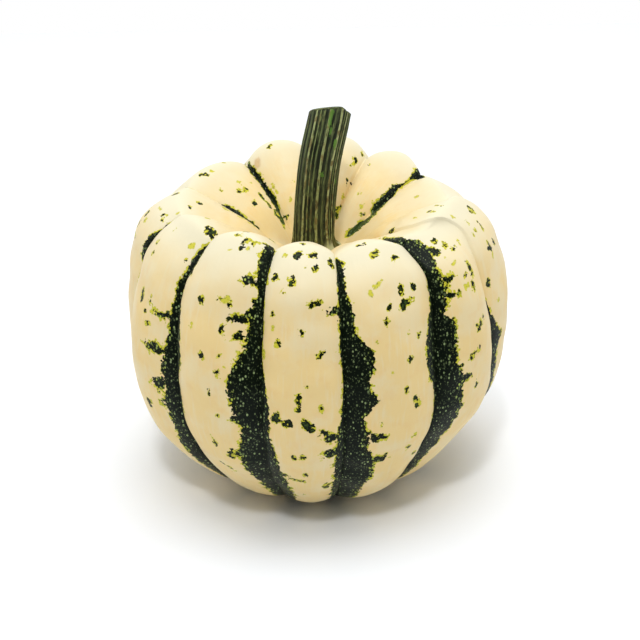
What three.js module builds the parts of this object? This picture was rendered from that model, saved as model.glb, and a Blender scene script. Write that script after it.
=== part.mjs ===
// A sweet dumpling squash: a small ribbed winter squash with a woody stem in the hollow of its top.
// Millimetres, +Z up. The origin is the middle of the small flat spot that the fruit rests on.
// An azimuth is in degrees: 0 faces the front (-Y), and it grows towards the right (+X).

import * as THREE from 'three';

// ---------- Driving dimensions ----------

// The line along the crest of a lobe, from the blossom end round the belly, over the rim and down
// to the stem seat: [distance from the axis, height, depth of the furrows beside it].
const CREST = [
  [0, 0, 0],
  [15.5, 0, 1.0],
  [33.5, 5.5, 2.6],
  [49.5, 26, 3.8],
  [52.3, 48.5, 4.2],
  [48.5, 70.5, 4.6],
  [40.5, 80.5, 5.0],
  [33, 82.5, 5.0],
  [18.5, 74, 3.4],
  [9.2, 63.5, 0],
];

// The lobes in order round the fruit: [azimuth of the furrow where the lobe begins, how many degrees
// that furrow swings aside at the shoulder, how many in the hollow, how far the lobe's rim stands
// proud of the crest line, how far its shoulder does, how far its belly does, how far its foot does,
// the share of the furrow's depth that is missing at the rim].
const LOBES = [
  [8, 0, 0, -2.4, 0, -2.3, 1.4, 0],
  [38, 2, -2.5, -3.8, 1.7, 0, -2, 0],
  [73, -9, -19, -1.2, 0.4, -0.7, -0.3, 0.7],
  [93.5, 5, -12.5, -4.4, 0, 0, 0, 0.4],
  [127.5, 6, -5.5, -0.7, 0, 0, 0, 0],
  [155, 0, 0, 1.5, 0, 0, 0, 0],
  [180, 0, 0, 0.4, 0, 0, 0, 0],
  [212, -1, 0, -1.3, 0, 0, 0, 0],
  [252.5, -3, 0, -2.5, 0.6, -2, -0.5, 0.35],
  [282, 1, 2.5, -1.2, -0.5, 1, -1.3, 0.25],
  [314, -0.5, 0, -0.5, 0, 1, -2.2, 0],
  [343.5, 0, 0, -1.5, 0, 0, -0.8, 0],
];
const LOBE_ROUNDNESS = 0.62; // below 1 the lobe is broad and the furrow beside it is sharp
const MEAN_LOBE = 360 / LOBES.length;
const HOLLOW = { station: 7.3, reach: 1.9 }; // where these parts lie along CREST, in stations
const RIM = { station: 6.4, reach: 2.6 };
const SHOULDER = { station: 5, reach: 2 };
const BELLY = { station: 3, reach: 2.4 };
const FOOT = { station: 2.6, reach: 1.6 };
const FLAT_SPOT_STATION = 0.4; // the resting face is flat all round as far as here

// The stem, from its seat to its cut end: [x, y, z, radius, height of the toes at its foot].
const STEM = [
  [0, 0, 63.8, 7.2, 1.0],
  [-0.2, 0, 66.5, 5.8, 0.5],
  [-0.2, 0, 70, 5.45, 0.1],
  [0.4, 0.5, 79.5, 5.4, 0],
  [1.8, 2.3, 90, 5.45, 0],
  [4.8, 7, 101.6, 5.45, 0],
];
const STEM_RIDGES = 10;
const STEM_RIDGE_HEIGHT = 0.3;
const STEM_TOES = 5;
const STEM_TOE_AZIMUTH = 48;
const STEM_CUT_SLOPE = 0.3; // the cut leaves the right side of the end longer

// How finely each piece is faceted.
const COLUMNS_PER_LOBE = 8;
const FRUIT_RINGS = 30;
const STEM_COLUMNS = 60;
const STEM_RINGS = 20;

const SKIN_CREAM = 0xeadfb8;
const STEM_GREEN = 0x3b4a2b;

// ---------- Shared shapes ----------

// A smooth line through one column of a table, read at a share 0 to 1 of the table's length.
function column(table, index) {
  const line = new THREE.SplineCurve(table.map((row, i) => new THREE.Vector2(i, row[index])));
  return (share) => line.getPoint(share).y;
}

// A bump that is 1 in the middle of its window and falls smoothly to 0 at both edges.
function bump(station, { station: middle, reach }) {
  const away = Math.min(Math.abs(station - middle) / reach, 1);
  return Math.cos((away * Math.PI) / 2) ** 2;
}

// The two triangles of each square between neighbouring rings, which have equal numbers of points.
function sideFaces(ringCount, columns) {
  const faces = [];
  for (let ring = 0; ring < ringCount - 1; ring += 1) {
    for (let i = 0; i < columns; i += 1) {
      const a = ring * columns + i;
      const b = ring * columns + ((i + 1) % columns);
      faces.push([a, b, b + columns], [a, b + columns, a + columns]);
    }
  }
  return faces;
}

// A closed body whose skin passes through the rings, lowest first, each going round anticlockwise
// seen from above. Its first and last rings are filled in as faces.
function loft(rings) {
  const columns = rings[0].length;
  const fill = (ring) => {
    const outline = ring.map((p) => new THREE.Vector2(p.x, p.y));
    return THREE.ShapeUtils.triangulateShape(outline, []);
  };
  const top = (rings.length - 1) * columns;
  const faces = [
    ...fill(rings[0]).map(([a, b, c]) => [c, b, a]),
    ...sideFaces(rings.length, columns),
    ...fill(rings[rings.length - 1]).map((face) => face.map((i) => i + top)),
  ];
  const geometry = new THREE.BufferGeometry().setFromPoints(rings.flat());
  geometry.setIndex(faces.flat());
  geometry.computeVertexNormals();
  return geometry;
}

function piece(name, geometry, color, roughness) {
  const material = new THREE.MeshStandardMaterial({ color, roughness, metalness: 0 });
  const mesh = new THREE.Mesh(geometry, material);
  mesh.name = name;
  return mesh;
}

// ---------- Fruit ----------

// Every line of points down the fruit, closest together at the furrows.
function fruitColumns() {
  return LOBES.flatMap(([start, aside, inside, rim, shoulder, belly, foot, fill], i) => {
    const [following, nextAside, nextInside, , , , , nextFill] = LOBES[(i + 1) % LOBES.length];
    const width = following > start ? following - start : following + 360 - start;
    return Array.from({ length: COLUMNS_PER_LOBE }, (_, k) => {
      const across = (1 - Math.cos((Math.PI * k) / COLUMNS_PER_LOBE)) / 2;
      const shoulderSwing = aside + (nextAside - aside) * across;
      const hollowSwing = inside + (nextInside - inside) * across;
      const filled = fill + (nextFill - fill) * across;
      const azimuth = start + across * width;
      const swings = { shoulderSwing, hollowSwing };
      return { azimuth, across, width, filled, ...swings, rim, shoulder, belly, foot };
    });
  });
}

// How far a lobe's crest stands proud of the crest line at a station.
function proudness(lobe, station) {
  const { rim, shoulder, belly, foot } = lobe;
  const above = rim * bump(station, RIM) + shoulder * bump(station, SHOULDER);
  return above + belly * bump(station, BELLY) + foot * bump(station, FOOT);
}

function makeFruit() {
  const crest = new THREE.SplineCurve(CREST.map(([r, z]) => new THREE.Vector2(r, z)));
  const furrowDepth = column(CREST, 2);
  const columns = fruitColumns();
  const last = CREST.length - 1;
  const rings = Array.from({ length: FRUIT_RINGS }, (_, ring) => {
    const span = last - FLAT_SPOT_STATION;
    const station = FLAT_SPOT_STATION + (span * ring) / (FRUIT_RINGS - 1);
    const share = station / last;
    const point = crest.getPoint(share);
    const along = crest.getTangent(share);
    return columns.map((line) => {
      const swell = Math.sin(Math.PI * line.across) ** LOBE_ROUNDNESS;
      const depth = furrowDepth(share) * Math.sqrt(line.width / MEAN_LOBE);
      const furrow = depth * (1 - line.filled * bump(station, RIM)) * (1 - swell);
      const lift = proudness(line, station) * swell;
      const radius = point.x + (lift - furrow) * along.y;
      const height = Math.max(point.y - (lift - furrow) * along.x, 0);
      const swing = line.shoulderSwing * bump(station, SHOULDER) + line.hollowSwing * bump(station, HOLLOW);
      const turn = THREE.MathUtils.degToRad(line.azimuth + swing);
      return new THREE.Vector3(radius * Math.sin(turn), -radius * Math.cos(turn), height);
    });
  });
  return piece('fruit', loft(rings), SKIN_CREAM, 0.45);
}

// ---------- Stem ----------

function makeStem() {
  const path = new THREE.CatmullRomCurve3(STEM.map(([x, y, z]) => new THREE.Vector3(x, y, z)));
  path.curveType = 'catmullrom';
  const stemRadius = column(STEM, 3);
  const toeHeight = column(STEM, 4);
  const rings = Array.from({ length: STEM_RINGS }, (_, ring) => {
    const share = ring / (STEM_RINGS - 1);
    const centre = path.getPoint(share);
    const along = ring === 0 ? new THREE.Vector3(0, 0, 1) : path.getTangent(share);
    const right = new THREE.Vector3(0, 1, 0).cross(along).normalize();
    const back = along.clone().cross(right);
    return Array.from({ length: STEM_COLUMNS }, (_, k) => {
      const azimuth = (360 * k) / STEM_COLUMNS;
      const turn = THREE.MathUtils.degToRad(azimuth);
      const toeTurn = THREE.MathUtils.degToRad(azimuth - STEM_TOE_AZIMUTH);
      const toe = toeHeight(share) * Math.cos(STEM_TOES * toeTurn);
      const ridge = STEM_RIDGE_HEIGHT * Math.cos(STEM_RIDGES * turn);
      const radius = stemRadius(share) + toe + ridge;
      const lengthened = STEM_CUT_SLOPE * radius * Math.sin(turn) * share ** 6;
      return centre
        .clone()
        .addScaledVector(along, lengthened)
        .addScaledVector(right, radius * Math.sin(turn))
        .addScaledVector(back, -radius * Math.cos(turn));
    });
  });
  return piece('stem', loft(rings), STEM_GREEN, 0.7);
}

const squash = new THREE.Group();
squash.name = 'sweet_dumpling_squash';
squash.add(makeFruit(), makeStem());

export default squash;
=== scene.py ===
"""A sweet dumpling squash: the fine striped skin of the fruit and the fibrous bark of its woody stem.

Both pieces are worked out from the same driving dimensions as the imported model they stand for.
Tables are in millimetres and degrees. An azimuth of 0 faces the front (-Y) and grows to the right (+X).
A station counts the rows of CREST, from 0 at the blossom end to 9 at the stem seat."""

from math import radians

import bpy
import numpy as np
from bpy.props import FloatProperty, FloatVectorProperty, IntProperty, PointerProperty
from mathutils import Matrix, Vector


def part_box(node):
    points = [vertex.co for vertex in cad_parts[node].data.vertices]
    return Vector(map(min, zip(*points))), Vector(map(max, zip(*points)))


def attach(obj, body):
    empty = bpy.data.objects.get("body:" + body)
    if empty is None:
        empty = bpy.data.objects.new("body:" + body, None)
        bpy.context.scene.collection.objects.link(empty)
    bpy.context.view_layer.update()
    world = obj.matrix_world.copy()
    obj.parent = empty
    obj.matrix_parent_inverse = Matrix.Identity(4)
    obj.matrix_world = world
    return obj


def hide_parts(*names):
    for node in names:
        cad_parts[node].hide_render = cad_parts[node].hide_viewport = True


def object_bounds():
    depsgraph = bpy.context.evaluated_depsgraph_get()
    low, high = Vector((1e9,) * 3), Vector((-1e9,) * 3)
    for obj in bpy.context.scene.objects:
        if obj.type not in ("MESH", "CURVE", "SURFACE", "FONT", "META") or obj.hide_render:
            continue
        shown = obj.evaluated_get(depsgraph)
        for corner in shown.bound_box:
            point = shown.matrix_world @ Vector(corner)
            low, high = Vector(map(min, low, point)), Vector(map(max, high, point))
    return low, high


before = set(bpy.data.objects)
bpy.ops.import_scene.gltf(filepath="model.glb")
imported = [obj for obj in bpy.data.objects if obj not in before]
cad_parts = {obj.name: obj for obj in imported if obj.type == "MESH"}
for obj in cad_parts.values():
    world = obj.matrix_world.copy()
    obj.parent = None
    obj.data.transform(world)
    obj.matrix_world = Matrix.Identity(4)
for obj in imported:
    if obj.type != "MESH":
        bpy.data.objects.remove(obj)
CAD_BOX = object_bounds()

bl_info = {
    "name": "Sweet Dumpling Squash",
    "version": (1, 0, 0),
    "blender": (4, 5, 0),
    "location": "3D View > Sidebar > Squash",
    "description": "Builds a ribbed winter squash with green furrow stripes and a woody stem",
    "category": "Add Mesh",
}

MM = 0.001  # metres in a millimetre

# ---------- Driving dimensions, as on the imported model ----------

# The crest of a lobe: [distance from the axis, height, depth of the furrows beside it].
CREST = [
    [0, 0, 0],
    [15.5, 0, 1.0],
    [33.5, 5.5, 2.6],
    [49.5, 26, 3.8],
    [52.3, 48.5, 4.2],
    [48.5, 70.5, 4.6],
    [40.5, 80.5, 5.0],
    [33, 82.5, 5.0],
    [18.5, 74, 3.4],
    [9.2, 63.5, 0],
]

# The lobes in order round the fruit: [azimuth of the furrow where the lobe begins, how many degrees
# that furrow swings aside at the shoulder, how many in the hollow, how far the lobe's rim stands
# proud of the crest line, how far its shoulder does, how far its belly does, how far its foot does,
# the share of the furrow's depth that is missing at the rim].
LOBES = [
    [8, 0, 0, -2.4, 0, -2.3, 1.4, 0],
    [38, 2, -2.5, -3.8, 1.7, 0, -2, 0],
    [73, -9, -19, -1.2, 0.4, -0.7, -0.3, 0.7],
    [93.5, 5, -12.5, -4.4, 0, 0, 0, 0.4],
    [127.5, 6, -5.5, -0.7, 0, 0, 0, 0],
    [155, 0, 0, 1.5, 0, 0, 0, 0],
    [180, 0, 0, 0.4, 0, 0, 0, 0],
    [212, -1, 0, -1.3, 0, 0, 0, 0],
    [252.5, -3, 0, -2.5, 0.6, -2, -0.5, 0.35],
    [282, 1, 2.5, -1.2, -0.5, 1, -1.3, 0.25],
    [314, -0.5, 0, -0.5, 0, 1, -2.2, 0],
    [343.5, 0, 0, -1.5, 0, 0, -0.8, 0],
]
LOBE_ROUNDNESS = 0.62
MEAN_LOBE = 360 / len(LOBES)
HOLLOW = (7.3, 1.9)  # where these parts lie along CREST: middle and reach, in stations
RIM = (6.4, 2.6)
SHOULDER = (5, 2)
BELLY = (3, 2.4)
FOOT = (2.6, 1.6)
SWING_PARTS = ((1, SHOULDER), (2, HOLLOW))  # the column of LOBES that acts in each part
PROUD_PARTS = ((3, RIM), (4, SHOULDER), (5, BELLY), (6, FOOT))
LAST_STATION = len(CREST) - 1

# The stem, from its seat to its cut end: [x, y, z, radius, height of the toes at its foot].
STEM = [
    [0, 0, 63.8, 7.2, 1.0],
    [-0.2, 0, 66.5, 5.8, 0.5],
    [-0.2, 0, 70, 5.45, 0.1],
    [0.4, 0.5, 79.5, 5.4, 0],
    [1.8, 2.3, 90, 5.45, 0],
    [4.8, 7, 101.6, 5.45, 0],
]
STEM_TOES = 5
STEM_TOE_AZIMUTH = 48
STEM_CUT_SLOPE = 0.3
STEM_WORN_CORNER = 1.6  # how far the long side of the cut is worn down

# Rubbed places on the stem: (azimuth, share of the way up, length, width).
STEM_RUBS = [
    (0, 0.97, 3.6, 1.1), (8, 0.91, 1.6, 0.6), (29, 0.86, 1.8, 0.8), (9, 0.74, 0.9, 1.4), (61, 0.71, 2, 0.7),
    (200, 0.9, 4, 1.5),
]

# ---------- Where the green lies ----------

# The stripes that follow the furrows: (furrow, how far the stripe reaches on to the lobe on its left,
# how far on to the lobe on its right), each reach as rows of (station, distance). Below zero a stripe
# stops short of the furrow.
STRIPES = [
    (
        0,
        [
            (6.3, 0), (5.95, 0), (5.6, 1.3), (4.8, 1.4), (4.45, 1.9), (4.25, 1), (3.85, 1.1), (3.65, 1.6),
            (3.5, 2.8), (3.0, 3.3), (2.45, 2.9), (1.2, 1.5),
        ],
        [
            (6.3, 0.5), (5.9, 1.9), (5.15, 2), (5.0, 2.9), (4.8, 3.6), (4.6, 4), (4.53, 5.8), (4.46, 7.7),
            (4.3, 8.4), (4.17, 7.9), (4.1, 6.4), (3.97, 7.6), (3.88, 8.8), (3.75, 7.5), (3.6, 5.3),
            (3.4, 6.6), (3.2, 5.9), (2.97, 8.6), (2.75, 8.4), (2.55, 6.6), (2.25, 5.6), (1.95, 4.7),
            (1.2, 2.5),
        ],
    ),
    (
        1,
        [
            (7.6, -3.4), (7.4, -1.6), (7.0, 1), (6.7, 2.5), (6.4, 3), (6.2, 0.5), (5.3, 0.2), (5.0, 1.6),
            (4.8, 1.9), (4.65, 3.2), (4.35, 4.9), (4.15, 4.7), (3.95, 3.7), (3.7, 1), (3.2, 0.6),
            (3.0, 1.2), (2.1, 0.6), (1.2, 0.5),
        ],
        [
            (7.6, 4.2), (7.3, 3.4), (6.7, 3.1), (6.0, 4.5), (5.7, 5.5), (5.55, 4.4), (5.35, 3.8),
            (4.9, 4.9), (4.7, 4), (4.62, 3.2), (4.5, 6.1), (4.2, 6.4), (4.02, 6.2), (3.85, 8.8),
            (3.65, 8.2), (3.3, 8.7), (3.1, 7.4), (2.85, 6.2), (2.6, 4.5), (2.1, 3.5), (1.2, 2),
        ],
    ),
    (
        2,
        [(4.6, 0), (4.2, 0.5), (3.6, 1), (2.2, 1.5), (1.2, 1)],
        [
            (4.45, 0.4), (4.1, 2.4), (3.9, 5.3), (3.8, 3.9), (3.6, 2.7), (3.3, 3.2), (2.8, 4.4),
            (2.2, 3.5), (1.2, 2),
        ],
    ),
    (
        3,
        [(5.0, 0), (4.4, 2), (3.8, 3), (3.2, 2.5), (2.6, 3), (2.0, 1.5), (1.2, 1)],
        [(5.0, 1), (4.4, 3), (3.8, 4), (3.5, 6), (3.2, 5), (2.6, 4), (2.0, 3), (1.2, 1.5)],
    ),
    (
        4,
        [
            (8.8, -0.3), (8.5, 2.6), (8.3, 4.5), (8.15, 4.6), (7.85, 2.2), (7.7, 0.6), (7.5, -0.8),
            (7.2, -0.8), (6.95, 2), (6.4, 3), (5.6, 4), (5.0, 3), (4.4, 5), (3.8, 6.5), (3.2, 5),
            (2.6, 4.5), (2.0, 3), (1.2, 1.5),
        ],
        [
            (8.8, 1.5), (8.35, 0.6), (8.2, -1.8), (8.1, 0.7), (7.95, 1.7), (7.6, 2), (7.5, 2.7),
            (7.4, 1.3), (7.25, 1.2), (7.1, 2), (6.9, 2.8), (6.4, 1.5), (5.0, 2), (4.4, 2.5), (3.2, 2),
            (2.0, 1), (1.2, 0.5),
        ],
    ),
    (
        5,
        [(6.0, 0), (5.6, 1), (5.0, 1.5), (4.4, 1), (3.8, 1.5), (3.2, 2), (2.6, 2), (2.0, 1.5), (1.2, 1)],
        [
            (6.0, 0.5), (5.6, 2), (5.0, 3), (4.4, 4), (4.1, 6), (3.8, 4.5), (3.2, 5), (2.6, 5.5),
            (2.0, 3.5), (1.2, 1.5),
        ],
    ),
    (
        6,
        [
            (7.0, 0), (6.0, 1.5), (5.0, 3), (4.4, 6), (4.0, 3.8), (3.6, 6.5), (3.2, 5), (2.6, 5.5),
            (2.0, 3), (1.2, 1.5),
        ],
        [(7.0, 0.5), (6.0, 1.5), (4.4, 1), (3.2, 1.5), (2.6, 2), (2.0, 1.5), (1.2, 1)],
    ),
    (
        7,
        [
            (8.45, -0.9), (8.2, 0.6), (7.9, 1.9), (7.35, 1.8), (6.75, 2), (6.15, 1.2), (5.6, 3), (4.4, 3),
            (3.8, 2.5), (3.2, 3), (2.6, 2.5), (2.0, 2), (1.2, 1),
        ],
        [
            (8.45, 1.8), (8.1, 2.1), (7.3, 2.2), (6.75, 0.5), (6.15, -1), (5.6, 2), (5.0, 3), (4.4, 5),
            (4.1, 3.6), (3.8, 6), (3.2, 5), (2.6, 5), (2.0, 3), (1.2, 1.5),
        ],
    ),
    (
        7,
        [(8.46, -1.7), (8.23, -3.2), (8.08, -4.2), (7.87, -5.3)],
        [(8.46, 2.6), (8.23, 4), (8.08, 5), (7.87, 6.1)],
    ),
    (
        8,
        [
            (8.3, 1.0), (8.05, 1.1), (7.9, 1.8), (7.7, 1.5), (7.5, 0), (6.6, 0), (5.8, 0.5), (5.0, 1),
            (4.4, 2), (3.8, 3), (3.2, 2.5), (2.6, 3), (2.0, 2), (1.2, 1),
        ],
        [
            (8.3, 1.4), (7.9, 1.7), (7.7, 1.1), (7.5, 0), (6.6, 0.5), (5.8, 1.5), (5.0, 3), (4.4, 3.5),
            (3.8, 5.5), (3.5, 4), (3.2, 6), (2.6, 5), (2.0, 3), (1.2, 1),
        ],
    ),
    (
        9,
        [
            (6.4, 0), (5.6, 0.6), (5.35, 2), (5.1, 2.8), (4.9, 2.8), (4.75, 0.8), (4.4, 2), (4.0, 4.5),
            (3.6, 3.5), (3.2, 4.5), (2.6, 5), (2.0, 3), (1.2, 1.5),
        ],
        [(6.4, 0.4), (5.6, 0.8), (4.6, 1), (4.2, 1.5), (3.8, 2), (3.2, 2), (2.6, 1.5), (1.2, 0.5)],
    ),
    (
        10,
        [
            (6.2, 0.5), (5.65, 1.6), (5.3, 1.2), (5.0, 1.9), (4.7, 2.1), (4.35, 3), (4.15, 4), (3.9, 5),
            (3.65, 4.5), (3.45, 5.6), (3.25, 4.5), (3.05, 4.4), (2.8, 5.5), (2.55, 4.3), (2.0, 3.5),
            (1.2, 2),
        ],
        [
            (6.2, 0.5), (5.75, 2.6), (5.25, 2.8), (4.9, -0.5), (4.65, 2.8), (4.4, 4.7), (4.1, 4.8),
            (3.85, 2.7), (3.65, 3.2), (3.45, 2.6), (3.15, 0), (2.0, 0), (1.2, 0),
        ],
    ),
    (
        11,
        [
            (6.9, 2.5), (6.5, 3), (6.0, 3.1), (5.7, 2.7), (5.4, 2.5), (5.2, 1.6), (5.1, 1.8), (5.0, 3),
            (4.85, 4.2), (4.7, 3.8), (4.45, 4.5), (4.35, 5.8), (4.28, 7.1), (4.22, 7.7), (4.1, 8.9),
            (3.9, 8.1), (3.75, 7.9), (3.65, 7.2), (3.5, 5.6), (3.25, 6.4), (3.0, 7), (2.8, 6.8),
            (2.65, 5.8), (2.5, 4.2), (2.1, 3), (1.2, 2),
        ],
        [
            (6.9, 0), (6.3, 1), (5.9, 0.8), (4.45, 0.6), (4.3, 0.7), (4.18, 1.4), (4.05, 2.1), (3.9, 2.6),
            (3.75, 3.4), (3.55, 2.6), (3.2, 3.5), (2.8, 4.2), (2.6, 4.9), (2.35, 4.8), (2.1, 4.3),
            (1.2, 3),
        ],
    ),
]

# Knobs and spurs that stand out of a stripe's ragged side:
# furrow: [(station, distance right of the furrow, half length, half width)].
SPURS = {
    0: [
        (4.93, -3, 1, 2.6), (3.33, 8.2, 1.3, 2.4), (2.98, 8.8, 1.3, 2.6), (3.83, 7.6, 1.4, 1.6),
        (3.42, -4.6, 1.4, 2), (3.2, -4.6, 1.6, 2.2),
    ],
    1: [(5.65, 6, 1.2, 1.5), (5.04, 5.2, 0.8, 2), (4.81, 5.2, 0.8, 2), (3.8, 9, 1.4, 1.6)],
    10: [(4.53, -5, 0.8, 2.2), (4.14, -6.8, 1.4, 3.6), (3.69, -6.4, 1.5, 2.8), (3.42, -5.6, 0.9, 1.4)],
    11: [
        (5.4, -4.2, 1.3, 2), (4.78, -5.6, 0.9, 2.4), (4.58, -6, 0.9, 1.8), (4.0, -7.6, 1.6, 1.4),
        (3.6, -6.4, 1.5, 1.8), (3.08, -6.6, 1.6, 1.6),
    ],
}

# Dark green flecks by lobe: [(share across, station, length, width, lean from the meridian)].
FLECKS = {
    0: [
        (0.48, 6.02, 2, 1.4, 45), (0.67, 5.81, 2.2, 0.9, 60), (0.6, 5.15, 4, 1.1, 0),
        (0.74, 5.11, 2.2, 1.4, 10), (0.6, 4.88, 3, 2.2, 20), (0.71, 4.95, 1, 1, 0),
        (0.45, 4.91, 2, 0.9, 40), (0.4, 4.73, 1.8, 1.4, 0), (0.62, 4.57, 1.2, 0.9, 0),
        (0.75, 4.48, 1.5, 1.2, 0), (0.63, 4.26, 1.5, 1, 0), (0.6, 3.92, 2, 0.8, 0),
        (0.72, 3.71, 4, 1.6, -15), (0.38, 3.49, 1.2, 1, 0), (0.73, 3.25, 1.4, 1.2, 0),
        (0.84, 2.85, 2, 0.8, -45), (0.39, 6.8, 2.2, 0.6, 85), (0.7, 3.06, 1.6, 1.1, 0),
        (0.41, 2.95, 1.6, 1.3, 0),
    ],
    1: [
        (0.44, 5.91, 2.4, 0.9, 65), (0.48, 5.69, 2.6, 0.9, 60), (0.56, 5.5, 2.2, 0.9, 70),
        (0.74, 5.56, 1, 0.8, 0), (0.6, 5.08, 3.2, 1.4, 0), (0.46, 5.0, 1.8, 1, 60),
        (0.54, 4.82, 2.6, 1.4, 0), (0.58, 4.94, 1.6, 1, 0), (0.36, 4.05, 2.4, 1.8, 20),
        (0.24, 3.98, 1.5, 1.1, 0), (0.32, 3.81, 1.8, 1.2, 0), (0.59, 4.41, 1.6, 1, 0),
        (0.54, 4.39, 2.4, 0.6, 0), (0.47, 4.34, 2, 0.6, 0), (0.46, 4.1, 2, 0.6, 0),
        (0.44, 3.64, 2.6, 0.6, 0),
    ],
    2: [
        (0.03, 7.71, 2.2, 1.5, 0), (0.07, 4.63, 2, 1.7, 0), (0.37, 7.01, 3, 0.6, 50),
        (0.62, 6.95, 2.4, 0.6, 50), (0.56, 5.78, 2.6, 0.9, 40), (0.35, 5.43, 2.8, 0.8, 20),
        (0.4, 5.01, 1.6, 1.1, 0), (0.27, 5.01, 1.6, 1.2, 0),
    ],
    4: [(0.78, 7.32, 1.1, 0.9, 0), (0.12, 8.23, 1.2, 0.8, 0)],
    5: [
        (0.05, 6.92, 1.6, 1.2, 0), (0.11, 7.22, 1.6, 1.2, 0), (0.19, 7.44, 1.9, 1.1, 30),
        (0.09, 7.31, 1.2, 1, 0), (0.08, 7.69, 2.2, 1.3, 0), (0.01, 7.67, 1.2, 1.1, 0),
        (0.01, 8.18, 1.2, 1, 0), (0.09, 8.27, 1.4, 1, 0), (0.03, 8.38, 1.4, 1, 0),
    ],
    6: [(0.68, 6.93, 1.8, 1.1, 60), (0.95, 8.36, 1.6, 1.2, 0)],
    7: [
        (0.7, 6.96, 1.9, 1.6, 0), (0.76, 6.81, 1.6, 0.8, 60), (0.62, 7.01, 1.2, 0.9, 0),
        (0.56, 7.93, 1.6, 1.5, 0), (0.6, 7.62, 1.1, 0.8, 0), (0.49, 7.67, 1.4, 1, 60),
        (0.33, 6.77, 1.2, 0.8, 0), (0.8, 7.44, 1.2, 0.8, 0),
    ],
    8: [
        (0.77, 7.1, 1.6, 1.5, 0), (0.53, 7.27, 1.9, 0.9, 30), (0.33, 6.26, 1.6, 1, 0),
        (0.89, 5.81, 1.6, 1, 0), (0.82, 5.85, 1, 0.8, 0), (0.65, 4.97, 1.2, 0.9, 0),
    ],
    9: [
        (0.5, 4.63, 3.6, 1.8, 0), (0.66, 4.62, 1.1, 0.9, 0), (0.67, 4.37, 2.2, 1.1, 80),
        (0.48, 4.28, 1.2, 0.8, 0), (0.63, 3.36, 1.8, 1.1, 0), (0.88, 6.94, 3.6, 3, 45),
        (0.89, 5.51, 1.2, 0.9, 0), (0.68, 4.88, 1, 0.8, 0), (0.36, 5.48, 2, 0.9, 0),
        (0.42, 5.25, 1.6, 0.9, 0), (0.61, 4.49, 1, 0.8, 0), (0.49, 7.13, 2.2, 0.7, 60),
        (0.6, 3.33, 3.2, 0.9, 0), (0.79, 3.59, 1.2, 0.9, 0),
    ],
    10: [
        (0.38, 4.91, 2.4, 1.6, 0), (0.6, 5.02, 1.4, 1, 30), (0.69, 4.95, 1.4, 1, 0),
        (0.69, 4.75, 1, 0.9, 0), (0.63, 4.64, 2, 1.1, 0), (0.46, 4.32, 2.4, 1.6, 0),
        (0.64, 4.34, 1, 0.8, 0), (0.62, 4.16, 2.4, 1.4, -30), (0.68, 4.24, 1, 0.8, 0),
        (0.53, 3.91, 2, 0.7, 0), (0.59, 3.62, 1, 0.8, 0), (0.49, 3.21, 2.5, 0.9, 0),
        (0.65, 3.06, 4.2, 1.4, 0), (0.56, 6.97, 2, 1.2, 60), (0.66, 6.21, 2.4, 1.6, 0),
        (0.52, 6.54, 1.8, 0.9, 70), (0.67, 6.41, 1.2, 1, 0), (0.77, 6.41, 1.2, 0.9, 0),
        (0.5, 3.16, 1.4, 1, 0), (0.48, 2.76, 5, 1, -50), (0.78, 7.42, 2.6, 1.9, 0),
        (0.96, 6.95, 1.6, 1.2, 0),
    ],
    11: [
        (0.15, 5.55, 1.8, 1.4, 0), (0.37, 5.45, 2.6, 1.8, -30), (0.27, 5.25, 1, 0.9, 0),
        (0.68, 5.75, 2.2, 1.5, 20), (0.66, 6.1, 2, 1.5, 60), (0.42, 6.1, 2.2, 1.5, 40),
        (0.15, 4.9, 1, 0.8, 0), (0.5, 4.7, 1.7, 1.3, 0), (0.23, 4.55, 2.2, 1.1, 10),
        (0.66, 5.05, 3.4, 1.2, 80), (0.75, 4.45, 3, 1.2, 55), (0.55, 4.1, 1.2, 0.7, 20),
        (0.47, 3.92, 5, 1.4, 5), (0.72, 3.83, 1.7, 0.9, -20), (0.19, 3.68, 3.4, 2.6, 30),
        (0.33, 3.63, 3.2, 2, 75), (0.57, 3.62, 4.4, 2.2, -35), (0.74, 3.5, 3, 1.6, -50),
        (0.38, 3.15, 1.7, 0.9, 0), (0.49, 3.17, 1.7, 1, 0), (0.2, 2.77, 4, 1.2, 65),
        (0.38, 2.71, 4.4, 1.2, 90), (0.5, 2.84, 1.6, 1, 0), (0.79, 2.57, 4, 1.5, 5),
        (0.45, 2.36, 1.2, 0.9, 0), (0.91, 5.97, 2.4, 1.4, 0), (0.47, 6.79, 1.1, 0.8, 0),
    ],
}

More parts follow.
